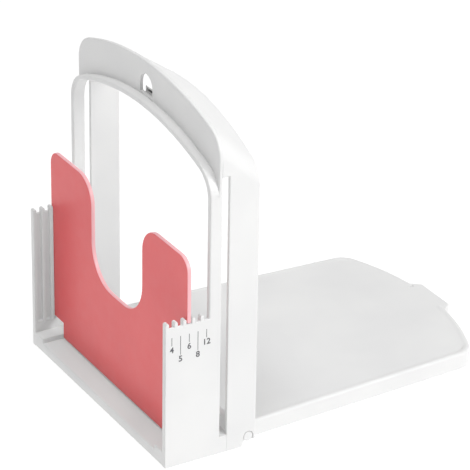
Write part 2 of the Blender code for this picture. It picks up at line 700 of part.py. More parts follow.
def build_loaf_board(material):
    """The folding board: a ribbed tray-like shell with a curled hinge end and trunnions."""
    curl = BOARD_TOP - HINGE_Z
    start = HINGE_X - curl - BOARD_RIM_WIDTH - OVERRUN
    outside = [(TAB_TIP, BOARD_TOP + OVERRUN), (HINGE_X, BOARD_TOP + OVERRUN), *curl_arc(curl),
               (HINGE_X, HINGE_CURL_FOOT), (BOARD_TAPER_START, BOARD_SKIRT_FOOT),
               (TAB_TIP, BOARD_SKIRT_FOOT)]
    board = soft_prism("Z", board_corners(start), 0.0, BOARD_TOP, 0, BOARD_EDGE)
    intersect(board, prism("Y", outside, -HALF_WIDTH, HALF_WIDTH))
    inside = [(TAB_TIP, BOARD_TOP - BOARD_SKIN), *curl_arc(curl - BOARD_SKIN)]
    inside += [(inside[-1][0], -OVERLAP), (TAB_TIP, -OVERLAP)]
    hollow = prism("Z", rounded_outline(board_corners(start), BOARD_SKIN), -OVERRUN, BOARD_TOP)
    intersect(hollow, prism("Y", inside, -HALF_WIDTH, HALF_WIDTH))
    well = prism("Z", rounded_outline(board_corners(start), BOARD_RIM_WIDTH),
                 BOARD_TOP - BOARD_RIM_STEP, BOARD_TOP + OVERRUN)
    cut(board, hollow, well)

    wide = board_half_width(HINGE_X)
    trunnions = []
    for side in (-1, 1):
        trunnion = disc((HINGE_X, HINGE_Z), BEARING_RADIUS - TRUNNION_CLEARANCE)
        trunnions.append(prism("Y", trunnion, side * (wide - BOARD_SKIN / 2),
                               side * (HALF_WIDTH - TRUNNION_INSET)))
    join(board, *trunnions)

    under = BOARD_TOP - BOARD_SKIN / 2 - BOARD_RIM_STEP
    rib_foot = BOARD_TOP - BOARD_SKIN - BOARD_RIB_DEPTH
    rib_end = BOARD_CORNER_X + BOARD_SKIN
    ribs = []
    for index in range(BOARD_LONG_RIBS):
        share = (index + 1) / (BOARD_LONG_RIBS + 1)
        y = BOARD_END_HALF_WIDTH * (2 * share - 1)
        ribs.append(box((HINGE_X, y - RIB / 2, rib_foot), (rib_end, y + RIB / 2, under)))
    for index in range(BOARD_CROSS_RIBS):
        share = (index + 1) / (BOARD_CROSS_RIBS + 1)
        x = BOARD_TAPER_START + (BOARD_CORNER_X - BOARD_TAPER_START) * share
        half = board_half_width(x) - BOARD_SKIN / 2
        ribs.append(box((x - RIB / 2, -half, rib_foot), (x + RIB / 2, half, under)))
    for x, y in foot_places():
        boss = disc((x, y), FOOT_RADIUS + FOOT_CLEARANCE + FOOT_BOSS_WALL)
        ribs.append(prism("Z", boss, FOOT_BOSS_FOOT, under))
    join(board, *ribs)

    tab_corners = [
        (BOARD_APEX - TAB_ROOT_DEPTH, -TAB_ROOT_WIDTH / 2, 0),
        (TAB_TIP, -TAB_TIP_WIDTH / 2, TAB_CORNER), (TAB_TIP, TAB_TIP_WIDTH / 2, TAB_CORNER),
        (BOARD_APEX - TAB_ROOT_DEPTH, TAB_ROOT_WIDTH / 2, 0),
    ]
    tab = soft_prism("Z", tab_corners, BOARD_TOP - TAB_THICKNESS, BOARD_TOP - BOARD_RIM_STEP,
                     0, TAB_EDGE)
    join(board, tab)
    sockets = []
    for x, y in foot_places():
        socket = disc((x, y), FOOT_RADIUS + FOOT_CLEARANCE)
        sockets.append(prism("Z", socket, -OVERRUN, FOOT_HEIGHT + SEAT_GAP))
    cut(board, *sockets)
    finish(board, "loaf_board", material)
    set_origin(board, (HINGE_X, 0.0, HINGE_Z))
    return board


def build_foot(name, place, material):
    sections = []
    profile = [(FOOT_RADIUS - FOOT_EDGE, 0.0), (FOOT_RADIUS, FOOT_EDGE), (FOOT_RADIUS, FOOT_HEIGHT)]
    for radius, z in profile:
        sections.append([(x, y, z) for x, y in disc(place, radius)])
    foot = loft(sections)
    finish(foot, name, material)
    set_origin(foot, (place[0], place[1], 0.0))
    return foot


def build_thickness_plate(material):
    """The plate that the cut face of the loaf is pushed against, with a deep U cut-out."""
    stop = SLICE_STOPS[PLATE_SETTING]
    heel_half = LEDGE_HALF - PLATE_STEP_CLEARANCE
    body_half = INNER_HALF + GROOVE_DEPTH - PLATE_GROOVE_CLEARANCE
    wing_half = HALF_WIDTH - PLATE_SHOULDER_INSET
    heel = GROOVE_BOTTOM + GROOVE_END_RISE + PLATE_HEEL_CLEARANCE
    shoulder = NOTCH_BOTTOM + SEAT_GAP
    foot = FLOOR_TOP + PLATE_FOOT_CLEARANCE
    cut_half = CUTOUT_WIDTH / 2
    right = [
        (heel_half, foot, 0), (heel_half, heel, 0), (body_half, heel, 0),
        (body_half, shoulder, 0), (wing_half, shoulder, 0),
        (wing_half, PLATE_TOP, PLATE_CORNER_RADIUS), (cut_half, PLATE_TOP, CUTOUT_LIP_RADIUS),
        (cut_half, CUTOUT_BOTTOM, CUTOUT_CORNER_RADIUS),
    ]
    left = [(-y, z, radius) for y, z, radius in reversed(right)]
    plate = soft_prism("X", right + left, stop - PLATE / 2, stop + PLATE / 2,
                       PLATE_EDGE, PLATE_EDGE)
    finish(plate, "thickness_plate", material)
    set_origin(plate, (stop, 0.0, foot))
    return plate


def main():
    clear_scene()
    white = plastic("white_plastic", WHITE, 0.34)
    pink = plastic("pink_plastic", PINK, 0.32)
    rubber = plastic("grey_rubber", RUBBER, 0.75)
    build_front_frame(white)
    build_rear_frame(white)
    board = build_loaf_board(white)
    for name, place in zip(("board_foot_near", "board_foot_far"), foot_places()):
        foot = build_foot(name, place, rubber)
        foot.parent = board
        foot.matrix_parent_inverse = board.matrix_basis.inverted()
    build_thickness_plate(pink)
    bpy.context.view_layer.update()


main()
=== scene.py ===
import json
import math

import bmesh
import bpy
from mathutils import Matrix, Vector

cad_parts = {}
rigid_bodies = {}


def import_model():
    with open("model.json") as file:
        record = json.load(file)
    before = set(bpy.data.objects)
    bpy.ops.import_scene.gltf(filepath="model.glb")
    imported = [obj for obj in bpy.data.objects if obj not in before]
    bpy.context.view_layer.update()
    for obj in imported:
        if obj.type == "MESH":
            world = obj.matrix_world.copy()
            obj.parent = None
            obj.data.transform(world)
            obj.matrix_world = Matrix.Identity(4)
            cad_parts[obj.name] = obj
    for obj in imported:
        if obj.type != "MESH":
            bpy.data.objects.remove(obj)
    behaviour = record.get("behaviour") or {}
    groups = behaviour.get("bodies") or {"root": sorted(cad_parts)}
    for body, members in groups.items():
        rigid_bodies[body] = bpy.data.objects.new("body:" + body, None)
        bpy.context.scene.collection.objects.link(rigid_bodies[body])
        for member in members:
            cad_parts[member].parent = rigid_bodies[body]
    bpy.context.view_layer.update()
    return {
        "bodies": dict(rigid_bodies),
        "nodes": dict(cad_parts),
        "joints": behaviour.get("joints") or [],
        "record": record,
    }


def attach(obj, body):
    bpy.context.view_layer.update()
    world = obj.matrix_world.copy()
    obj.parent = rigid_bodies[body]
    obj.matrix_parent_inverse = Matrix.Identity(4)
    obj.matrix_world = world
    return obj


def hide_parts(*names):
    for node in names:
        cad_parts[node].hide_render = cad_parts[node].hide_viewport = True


# The bread slicer guide as it looks, in metres with +Z up. X runs along the loaf, with the
# tray at -X and the board at +X. Y runs across, and the near side is -Y.
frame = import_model()

MM = 0.001

# Frame as a whole
FRAME_WIDTH = 152.0 * MM
WALL = 3.3 * MM
SKIN = 2.2 * MM
RIB = 1.6 * MM
SEAT_GAP = 0.3 * MM
CLOSE_GAP = 0.02 * MM
OVERLAP = 1.0 * MM
OVERRUN = 2.0 * MM

# Knife slot and the sill under it
KNIFE_SLOT_WIDTH = 4.2 * MM
KNIFE_SLOT_BOTTOM = 10.0 * MM
KNIFE_SLOT_TOP = 157.0 * MM
SILL_TOP = 12.0 * MM

# The bands of the arches start this far below the lowest springing of an arch
ARCH_FOOT_DROP = 6.2 * MM

# Slice settings: the plate's distance from a blade in the middle of the slot
FIRST_SLICE = 10.0 * MM
BLADE = 0.8 * MM
SLICE_STEP = 5.0 * MM
SLICE_SETTINGS = 5
PLATE_SETTING = 2

# Tray and side walls
TRAY_MARGIN = 3.6 * MM
WALL_TOP = 83.4 * MM
NOTCH_DEPTH = 3.0 * MM
GROOVE_DEPTH = 1.6 * MM
GROOVE_BOTTOM = 14.2 * MM
GROOVE_END_RISE = 0.9 * MM
FLOOR_TOP = 5.6 * MM
LEDGE_TOP = 8.4 * MM
LEDGE_WIDTH = 8.8 * MM
RAIL_EDGE = 0.8 * MM
RIB_FOOT = 0.6 * MM
TRAY_RIBS = 5

# Front hoop and the opening inside it
HOOP_DEPTH = 6.8 * MM
HOOP_CROWN = 172.3 * MM
HOOP_CROWN_RADIUS = 188.0 * MM
HOOP_CORNER_RADIUS = 16.0 * MM
HOOP_EDGE = 0.9 * MM
OPENING_CROWN = 169.4 * MM
OPENING_CROWN_RADIUS = 190.0 * MM
OPENING_CORNER_RADIUS = 14.5 * MM

# Web: the panel that stands on the front hoop
WEB = 1.9 * MM
WEB_CROWN = 191.6 * MM
WEB_CROWN_RADIUS = 208.0 * MM
WEB_CORNER_RADIUS = 15.0 * MM
WEB_EDGE = 0.9 * MM
WINDOW_WIDTH = 13.1 * MM
WINDOW_SILL = 173.3 * MM
WINDOW_SPRING = 178.0 * MM

# Catch box behind the foot of the window, and the tongue of the rear frame that holds it
CATCH_HALF = 3.6 * MM
CATCH_SKIN = 1.0 * MM
CATCH_HEIGHT = 2.4 * MM
CATCH_STEP = 0.3 * MM
CATCH_DEPTH = 5.4 * MM
CATCH_FLOOR = 2.0 * MM
CATCH_BASE = 0.8 * MM
CATCH_TAIL = 0.9 * MM
TONGUE_HALF = 2.8 * MM
TONGUE = 1.4 * MM
TONGUE_TOE = 1.4 * MM

# Rear hoop and hood
REAR_DEPTH = 17.5 * MM
REAR_BAND = 2.4 * MM
REAR_CROWN = 177.3 * MM
REAR_CROWN_RADIUS = 150.0 * MM
REAR_CORNER_RADIUS = 14.0 * MM
REAR_EDGE = 0.8 * MM
REAR_LIP = 1.8 * MM
HOOD_RIB_SPACING = 13.0 * MM
HOOD_RIBS_EACH_SIDE = 4
HOOD_RIB_DEPTH = 6.0 * MM
HOOD_RIB_STANDOFF = 1.2 * MM
HOOD_RIB_FIRST = 8.2 * MM

# Sill and locating pegs of the rear frame
SILL_SKIN = 1.8 * MM
PEG_RADIUS = 1.6 * MM
PEG_HEIGHT = 5.0 * MM
PEG_SPACING = 96.0 * MM

# Hinge: trunnions on the board snap up into open bearings in the rear legs
HINGE_X = 15.2 * MM
HINGE_Z = 5.3 * MM
BEARING_RADIUS = 3.0 * MM
TRUNNION_CLEARANCE = 0.3 * MM
TRUNNION_INSET = 0.2 * MM
LEG_FOOT_END = 11.4 * MM
LEG_FOOT_CHAMFER = 0.8 * MM
BEARING_THROAT = 3.2 * MM

# Loaf board
BOARD_TOP = 12.0 * MM
BOARD_SKIRT_FOOT = 2.5 * MM
BOARD_SKIN = 2.2 * MM
BOARD_SIDE_CLEARANCE = 0.9 * MM
BOARD_TAPER_START = 22.0 * MM
BOARD_APEX = 178.8 * MM
BOARD_END_HALF_WIDTH = 65.5 * MM
BOARD_END_RADIUS = 142.0 * MM
BOARD_END_LEAN = math.radians(23.2)
BOARD_CORNER_RADIUS = 12.0 * MM
BOARD_EDGE = 1.6 * MM
BOARD_RIM_WIDTH = 3.4 * MM
BOARD_RIM_STEP = 0.5 * MM
BOARD_RIM_SLOPE = 0.9 * MM
BOARD_RIB_DEPTH = 2.6 * MM
BOARD_LONG_RIBS = 3
BOARD_CROSS_RIBS = 5
HINGE_END_CLEARANCE = 0.5 * MM
HINGE_CURL_FOOT = 1.2 * MM

# Thumb tab at the board's free end
TAB_TIP = 183.4 * MM
TAB_TIP_WIDTH = 27.4 * MM
TAB_ROOT_WIDTH = 42.0 * MM
TAB_ROOT_DEPTH = 4.0 * MM
TAB_THICKNESS = 5.0 * MM
TAB_CORNER = 1.5 * MM
TAB_EDGE = 1.0 * MM

# Feet set into bosses under the board's free end
FOOT_RADIUS = 5.0 * MM
FOOT_CLEARANCE = 0.3 * MM
FOOT_HEIGHT = 3.4 * MM
FOOT_EDGE = 0.6 * MM
FOOT_BOSS_WALL = 1.6 * MM
FOOT_BOSS_FOOT = 1.4 * MM
FOOT_X = 146.0 * MM
FOOT_SPACING = 96.0 * MM

# Thickness plate
PLATE = 2.4 * MM
PLATE_TOP = 116.2 * MM
PLATE_FOOT_CLEARANCE = 0.8 * MM
PLATE_GROOVE_CLEARANCE = 0.3 * MM
PLATE_STEP_CLEARANCE = 0.8 * MM
PLATE_HEEL_CLEARANCE = 0.5 * MM
PLATE_SHOULDER_INSET = 0.2 * MM
PLATE_CORNER_RADIUS = 8.0 * MM
PLATE_EDGE = 0.6 * MM
CUTOUT_WIDTH = 56.0 * MM
CUTOUT_BOTTOM = 59.6 * MM
CUTOUT_CORNER_RADIUS = 21.0 * MM
CUTOUT_LIP_RADIUS = 15.0 * MM

# Places worked out from the sizes above
HALF_WIDTH = FRAME_WIDTH / 2
INNER_HALF = HALF_WIDTH - WALL
SLOT_HALF = KNIFE_SLOT_WIDTH / 2
HOOP_FRONT = -SLOT_HALF - HOOP_DEPTH
REAR_END = SLOT_HALF + REAR_DEPTH
REAR_INNER_HALF = HALF_WIDTH - REAR_BAND
SLICE_STOPS = [-BLADE / 2 - FIRST_SLICE - SLICE_STEP * index for index in range(SLICE_SETTINGS)]
TRAY_FRONT = SLICE_STOPS[-1] - TRAY_MARGIN
NOTCH_BOTTOM = WALL_TOP - NOTCH_DEPTH
NOTCH_WIDTH = PLATE + 2 * PLATE_GROOVE_CLEARANCE
LEDGE_HALF = INNER_HALF - LEDGE_WIDTH
FRONT_SILL_END = SLOT_HALF - CLOSE_GAP
HOOD_FRONT = -SLOT_HALF + SEAT_GAP
HOOD_RIM = -SLOT_HALF + CLOSE_GAP
CATCH_BACK = -SLOT_HALF + CATCH_DEPTH
BOARD_PEAK = BOARD_APEX + BOARD_END_RADIUS * (1 / math.cos(BOARD_END_LEAN) - 1)
BOARD_CORNER_X = BOARD_PEAK - BOARD_END_HALF_WIDTH * math.tan(BOARD_END_LEAN)

# Half width, crown height, corner radius and crown radius of each arch
HOOP = (HALF_WIDTH, HOOP_CROWN, HOOP_CORNER_RADIUS, HOOP_CROWN_RADIUS)
OPENING = (INNER_HALF, OPENING_CROWN, OPENING_CORNER_RADIUS, OPENING_CROWN_RADIUS)
WEB_ARCH = (HALF_WIDTH, WEB_CROWN, WEB_CORNER_RADIUS, WEB_CROWN_RADIUS)
REAR = (HALF_WIDTH, REAR_CROWN, REAR_CORNER_RADIUS, REAR_CROWN_RADIUS)

CORNER_STEPS = 12
CROWN_STEPS = 30
EDGE_STEPS = 5
ROUND_STEPS = 48
FACET_LENGTH = 4.0 * MM
FLAT_ANGLE = math.radians(0.02)

# Softened edges
SOFT_EDGE = 0.35 * MM
EDGE_SEGMENTS = 2
EDGE_PROFILE = 0.5
WELD_DISTANCE = 0.002 * MM
MERGE_ANGLE = math.radians(0.3)
SOFTEN_ANGLE = math.radians(35.0)
SHARP_ANGLE = math.radians(40.0)

# Printed scale on the near wall: a mark under each notch, and how many slices a loaf gives
SLICE_COUNTS = ("12", "8", "6", "5", "4")
MARK_TOP = 75.1 * MM
MARK_FEET = (70.4 * MM, 64.4 * MM, 70.4 * MM, 64.4 * MM, 70.4 * MM)
NUMBER_MIDDLES = (67.9 * MM, 62.0 * MM, 67.9 * MM, 62.0 * MM, 67.9 * MM)
NUMBER_SIZE = 4.6 * MM
NUMBER_SPREAD = 0.1 * MM
MARK_WIDTH = 0.32 * MM
PRINT_THICKNESS = 0.04 * MM
PRINT_SINK = 0.02 * MM

# Colours
WHITE = (0.84, 0.84, 0.835, 1.0)
WHITE_SHADE = (0.80, 0.80, 0.80, 1.0)
PINK = (0.90, 0.116, 0.122, 1.0)
PINK_SHADE = (0.86, 0.104, 0.112, 1.0)
# Painted highlight: a pale pink laid on the plate's edge faces, the ones that do not face along X
PINK_EDGE_HIGHLIGHT = (0.95, 0.50, 0.53, 1.0)
RUBBER = (0.62, 0.62, 0.61, 1.0)
RUBBER_SHADE = (0.56, 0.56, 0.55, 1.0)
INK = (0.10, 0.10, 0.11, 1.0)
INK_SHADE = (0.14, 0.14, 0.15, 1.0)
FLOOR_WHITE = (0.45, 0.45, 0.45, 1.0)
LIGHT_WHITE = (1.0, 1.0, 1.0, 1.0)

# Lowest and highest roughness of each surface, and how strong its grain is
WHITE_SURFACE = ((0.30, 0.40), 0.25)
PINK_SURFACE = ((0.28, 0.38), 0.2)
RUBBER_SURFACE = ((0.7, 0.85), 0.6)
INK_SURFACE = ((0.5, 0.6), 0.1)
FLOOR_SURFACE = ((0.7, 0.8), 0.0)

# Clouds of tint, patches of gloss and grain of the surfaces. Scales are per metre, and a span
# is the part of the noise, or of the normal, that is stretched over the whole range.
CLOUD_SCALE = 22.0
CLOUD_DETAIL = 2.0
CLOUD_SPAN = (0.35, 0.65)
GLOSS_SCALE = 160.0
GLOSS_DETAIL = 4.0
GLOSS_SPAN = (0.3, 0.7)
GRAIN_SCALE = 1500.0
GRAIN_DETAIL = 3.0
GRAIN_HEIGHT = 0.1 * MM
# Painted highlight on the edges: none where the normal's X part is 0.97 or more, full where it is
# 0.55 or less
EDGE_HIGHLIGHT_SPAN = (0.97, 0.55)

# Studio
FLOOR_GLOW = 0.68
FLOOR_REACH = 6.0
DOME_BRIGHT_SIDE = (0.0, 1.0, 0.0)
DOME_LOW = 0.15
DOME_HIGH = 0.48
KEY_PLACE = (0.9, -1.5, 1.1)
KEY_TARGET = (0.05, 0.0, 0.08)
KEY_SIZE = 1.2
KEY_ENERGY = 22.2
TOP_PLACE = (-0.15, -0.15, 1.8)
TOP_SIZE = 0.8
TOP_ENERGY = 14.0

# Camera, fitted to the photo
YAW = math.radians(59.48)
PITCH = math.radians(24.98)
ROLL = math.radians(0.88)
FOCAL_PX = 2674.8
CENTRE_X_PX = 233.51
CENTRE_Y_PX = 167.59
SHIFT_X = 43.7 * MM
SHIFT_Y = 118.95 * MM
DISTANCE = 1441.33 * MM
WIDTH_PX = 470
SENSOR = 36.0
CLIP_START = 0.05
CLIP_END = 50.0


def loft(sections):
    """A closed solid whose skin runs through equal rings of points, capped at both ends."""
    mesh = bpy.data.meshes.new("loft")
    work = bmesh.new()
    rings = [[work.verts.new(point) for point in section] for section in sections]
    count = len(rings[0])
    sides = []
    for ring, following in zip(rings, rings[1:]):
        for index in range(count):
            after = (index + 1) % count
            corners = (ring[index], ring[after], following[after], following[index])
            sides.append(work.faces.new(corners))
    work.faces.new(rings[0])
    work.faces.new(list(reversed(rings[-1])))
    bmesh.ops.connect_verts_nonplanar(work, angle_limit=FLAT_ANGLE, faces=sides)
    bmesh.ops.recalc_face_normals(work, faces=work.faces)
    work.to_mesh(mesh)
    work.free()
    body = bpy.data.objects.new("loft", mesh)
    bpy.context.collection.objects.link(body)
    return body


def ring_at(axis, outline, along):
    """An outline as points at a place along an axis: (y, z) for X, (x, z) for Y, (x, y) for Z."""
    if axis == "X":
        return [(along, u, v) for u, v in outline]
    if axis == "Y":
        return [(u, along, v) for u, v in outline]
    return [(u, v, along) for u, v in outline]


def prism(axis, outline, low, high):
    """An outline pushed along an axis."""
    return loft([ring_at(axis, outline, low), ring_at(axis, outline, high)])


def box(low, high):
    outline = [(low[0], low[1]), (high[0], low[1]), (high[0], high[1]), (low[0], high[1])]
    return prism("Z", outline, low[2], high[2])


def arc(centre, radius, start, end, steps):
    """Points along an arc, with angles in degrees from the outline's first axis."""
    points = []
    for index in range(steps + 1):
        angle = math.radians(start + (end - start) * index / steps)
        points.append((centre[0] + radius * math.cos(angle), centre[1] + radius * math.sin(angle)))
    return points


def disc(centre, radius):
    return arc(centre, radius, 0, 360, ROUND_STEPS)[:-1]


def combine(body, others, operation):
    """Cut, join or intersect the body with other solids, which are used up."""
    for other in others:
        modifier = body.modifiers.new("combine", "BOOLEAN")
        modifier.object = other
        modifier.operation = operation
        modifier.solver = "EXACT"
        graph = bpy.context.evaluated_depsgraph_get()
        mesh = bpy.data.meshes.new_from_object(body.evaluated_get(graph))
        body.modifiers.clear()
        body.data = mesh
        bpy.data.objects.remove(other, do_unlink=True)
    return body


def join(body, *others):
    return combine(body, others, "UNION")


def cut(body, *others):
    return combine(body, others, "DIFFERENCE")


def intersect(body, *others):
    return combine(body, others, "INTERSECT")


def in_seam(edge, seam):
    """Whether an edge lies where the two frames meet: over the knife slot or under it."""
    if not seam:
        return False
    over = all(abs(vert.co.x - seam[0]) < CLOSE_GAP and vert.co.z > arch_foot()
               for vert in edge.verts)
    under = all(abs(vert.co.x - seam[1]) < CLOSE_GAP and vert.co.z < SILL_TOP
                for vert in edge.verts)
    return over or under


def finish(body, name, material, seam=None):
    """Merge the flat faces, soften the sharp edges and give the piece its material."""
    mesh = body.data
    work = bmesh.new()
    work.from_mesh(mesh)
    bmesh.ops.remove_doubles(work, verts=work.verts, dist=WELD_DISTANCE)
    bmesh.ops.dissolve_limit(work, angle_limit=MERGE_ANGLE, verts=work.verts, edges=work.edges)
    many_sided = [item for item in work.faces if len(item.verts) > 4]
    bmesh.ops.triangulate(work, faces=many_sided, ngon_method="BEAUTY")
    sharp = [item for item in work.edges
             if len(item.link_faces) == 2 and item.is_convex
             and item.calc_face_angle() > SOFTEN_ANGLE and not in_seam(item, seam)]
    bmesh.ops.bevel(work, geom=sharp, offset=SOFT_EDGE, offset_type="OFFSET",
                    segments=EDGE_SEGMENTS, profile=EDGE_PROFILE, affect="EDGES",
                    clamp_overlap=False)
    work.to_mesh(mesh)
    work.free()
    body.name = name
    mesh.name = name
    mesh.materials.clear()
    mesh.materials.append(material)
    mesh.shade_smooth()
    mesh.set_sharp_from_angle(angle=SHARP_ANGLE)
    weighted = body.modifiers.new("weighted", "WEIGHTED_NORMAL")
    weighted.keep_sharp = True
    return body


def edge_turns():
    """How far an edge of radius 1 stands back from each of its two sides, along its arc."""
    angles = [math.pi / 2 * index / EDGE_STEPS for index in range(EDGE_STEPS + 1)]
    return [(1 - math.cos(angle), 1 - math.sin(angle)) for angle in angles]


def rounded_outline(corners, inset=0.0):
    """An anticlockwise outline from corners (u, v, radius), moved inwards by the inset."""
    count = len(corners)
    points = [Vector((corner[0], corner[1])) for corner in corners]
    sides = [(points[(i + 1) % count] - points[i]).normalized() for i in range(count)]
    outline = []
    for i in range(count):
        before, after = sides[i - 1], sides[i]
        inward = (Vector((-before.y, before.x)), Vector((-after.y, after.x)))
        turn = before.cross(after)
        middle = (inward[0] + inward[1]).normalized()
        corner = points[i] + middle * (inset / middle.dot(inward[0]))
        if corners[i][2] == 0:
            outline.append((corner.x, corner.y))
            continue
        radius = corners[i][2] - inset if turn > 0 else corners[i][2] + inset
        half = math.acos(max(-1.0, min(1.0, before.dot(after)))) / 2
        side = 1 if turn > 0 else -1
        centre = corner + middle * (side * radius / math.cos(half))
        start = math.atan2(-inward[0].y * side, -inward[0].x * side)
        steps = max(2, math.ceil(CORNER_STEPS * half / (math.pi / 4)),
                    math.ceil(2 * half * corners[i][2] / FACET_LENGTH))
        for step in range(steps + 1):
            angle = start + side * 2 * half * step / steps
            outline.append((centre.x + radius * math.cos(angle),
                            centre.y + radius * math.sin(angle)))
    return outline


def soft_prism(axis, corners, low, high, low_edge, high_edge):
    """A prism of a rounded outline whose rims at its two ends are rounded too."""
    def ring(inset, along):
        return ring_at(axis, rounded_outline(corners, inset), along)

    turns = edge_turns()
    rings = [ring(low_edge * inset, low + low_edge * rise)
             for rise, inset in (turns if low_edge else turns[-1:])]
    rings += [ring(high_edge * inset, high - high_edge * drop)
              for inset, drop in (turns if high_edge else turns[:1])]
    return loft(rings)


def springing(shape):
    """Height at which the upright flanks of an arch end and its corners start."""
    half_width, crown, corner_radius, crown_radius = shape
    flank = half_width - corner_radius
    span = crown_radius - corner_radius
    return crown - crown_radius + math.sqrt(span ** 2 - flank ** 2)


def arch(shape, base, offset=0.0):
    """Points (y, z) of a low arch from its near foot, over its crown, to its far foot."""
    half_width, crown, corner_radius, crown_radius = shape
    flank = half_width - corner_radius
    lean = math.degrees(math.asin(flank / (crown_radius - corner_radius)))
    far = [(half_width + offset, base)]
    far += arc((flank, springing(shape)), corner_radius + offset, 0, 90 - lean, CORNER_STEPS)
    far += arc((0, crown - crown_radius), crown_radius + offset, 90 - lean, 90, CROWN_STEPS)[1:]
    near = [(-y, z) for y, z in far[:-1]]
    return near + list(reversed(far))


def arch_foot():
    """Height below which the flanks of every arch are upright."""
    return min(springing(shape) for shape in (HOOP, OPENING, WEB_ARCH, REAR)) - ARCH_FOOT_DROP


def hoop_arch(base, offset=0.0):
    return arch(HOOP, base, offset)


def opening_arch(offset=0.0):
    return arch(OPENING, 0.0, offset)


def web_arch(base, offset=0.0):
    return arch(WEB_ARCH, base, offset)


def rear_arch(base, offset=0.0):
    return arch(REAR, base, offset)


def height_at(outline, y):
    """Height of an arch at a distance from its middle."""
    for (y0, z0), (y1, z1) in zip(outline, outline[1:]):
        if y0 <= y <= y1 and y1 > y0:
            return z0 + (z1 - z0) * (y - y0) / (y1 - y0)
    return outline[0][1]


def arch_loft(lines):
    """A solid band whose cross-section, at every station, joins the same point of each line.

    Each line is (x, arch outline), and all the outlines have as many points.
    """
    stations = len(lines[0][1])
    return loft([[(x, *outline[i]) for x, outline in lines] for i in range(stations)])


def notched_wall_outline():
    """Side view (x, z) of a tray wall, with a rounded tooth between each two notches."""
    outline = [(HOOP_FRONT + OVERRUN, 0.0), (HOOP_FRONT + OVERRUN, NOTCH_BOTTOM)]
    for stop in SLICE_STOPS:
        front = stop - NOTCH_WIDTH / 2
        if stop == SLICE_STOPS[-1]:
            tooth_front = TRAY_FRONT
        else:
            tooth_front = stop - SLICE_STEP + NOTCH_WIDTH / 2
        radius = (front - tooth_front) / 2
        outline.append((front, NOTCH_BOTTOM))
        outline += arc((front - radius, WALL_TOP - radius), radius, 0, 180, CORNER_STEPS)
        if stop != SLICE_STOPS[-1]:
            outline.append((tooth_front, NOTCH_BOTTOM))
    outline.append((TRAY_FRONT, 0.0))
    return outline


def plate_groove(stop, side):
    """Cutter for one groove of a wall: a slot whose lower end runs out in a slope."""
    root = side * (INNER_HALF + GROOVE_DEPTH)
    mouth = side * (INNER_HALF - OVERRUN)
    outline = [
        (root, WALL_TOP + OVERRUN),
        (mouth, WALL_TOP + OVERRUN),
        (mouth, GROOVE_BOTTOM),
        (side * INNER_HALF, GROOVE_BOTTOM),
        (root, GROOVE_BOTTOM + GROOVE_END_RISE),
    ]
    return prism("X", outline, stop - NOTCH_WIDTH / 2, stop + NOTCH_WIDTH / 2)


def tray_rib(y):
    """A stiffening rib under the tray floor and the front half of the sill."""
    step = HOOP_FRONT + SKIN / 2
    front = TRAY_FRONT + SKIN / 2
    back = FRONT_SILL_END - WALL / 2
    under_floor = FLOOR_TOP - SKIN / 2
    under_sill = KNIFE_SLOT_BOTTOM - SKIN / 2
    outline = [(front, RIB_FOOT), (back, RIB_FOOT), (back, under_sill),
               (step, under_sill), (step, under_floor), (front, under_floor)]
    return prism("Y", outline, y - RIB / 2, y + RIB / 2)


def peg_places():
    return (-PEG_SPACING / 2, PEG_SPACING / 2)


def catch_box():
    """A hollow wedge behind the window's foot, open towards it, on a shelf from the web."""
    half = CATCH_HALF + CATCH_SKIN
    foot = WINDOW_SILL - CATCH_FLOOR
    step = WINDOW_SILL + CATCH_STEP
    mouth = WINDOW_SILL + CATCH_HEIGHT
    slope = (mouth + CATCH_SKIN - foot - CATCH_TAIL) / (CATCH_BACK - HOOD_FRONT)
    lip = HOOD_FRONT + CATCH_SKIN
    shelf = box((-SLOT_HALF - WEB / 2, -half, foot),
                (HOOD_FRONT + CATCH_SKIN / 2, half, WINDOW_SILL - CATCH_STEP))
    wedge = [(HOOD_FRONT, foot), (CATCH_BACK, foot), (CATCH_BACK, foot + CATCH_TAIL),
             (HOOD_FRONT, mouth + CATCH_SKIN)]
    floor = foot + CATCH_BASE
    pocket = [(HOOD_FRONT - OVERRUN, step), (lip, step), (lip, floor),
              (HOOD_FRONT + (mouth - floor) / slope, floor),
              (HOOD_FRONT - OVERRUN, mouth + slope * OVERRUN)]
    catch = cut(prism("Y", wedge, -half, half), prism("Y", pocket, -CATCH_HALF, CATCH_HALF))
    return join(catch, shelf)


